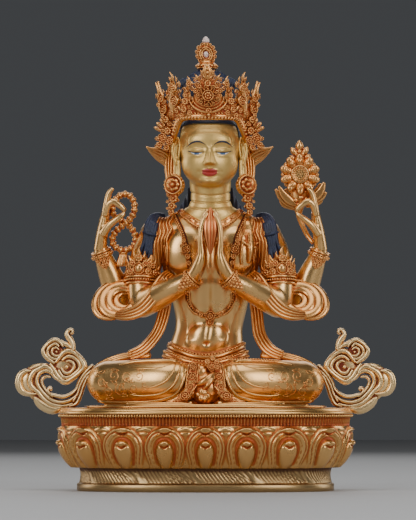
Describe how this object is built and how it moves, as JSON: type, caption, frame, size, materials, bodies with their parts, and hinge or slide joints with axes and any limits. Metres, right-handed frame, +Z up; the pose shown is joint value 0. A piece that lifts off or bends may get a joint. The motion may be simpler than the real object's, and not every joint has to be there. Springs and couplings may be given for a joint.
{
  "type": "avalokiteshvara statue",
  "caption": "Gilt copper seated bodhisattva with praying and raised hands holding a rosary and a lotus, on an oval lotus base",
  "frame": {"origin": "on the ground under the middle of the oval lotus base", "axes": "+Z up; -Y is the way the figure faces; +X is the figure's left, the viewer's right; the width runs along X and the depth along Y"},
  "size_m": [0.2689, 0.1528, 0.3307],
  "materials": {
    "base_gilt": "polished gilt copper, orange-red paint left in the recesses",
    "figure_gilt": "polished gilt copper with a matt gold face and dark blue hair",
    "crown_gilt": "gilt copper, orange-red paint left in the chasing",
    "scarf_gilt": "pale polished gilt with red-brown grooves",
    "held_gilt": "reddish gilt copper"
  },
  "bodies": {
    "root": {"lotus_base": "base_gilt", "figure": "figure_gilt", "crown": "crown_gilt", "right_scarf_end": "scarf_gilt", "left_scarf_end": "scarf_gilt", "rosary": "held_gilt", "lotus_flower": "held_gilt"}
  },
  "joints": []
}
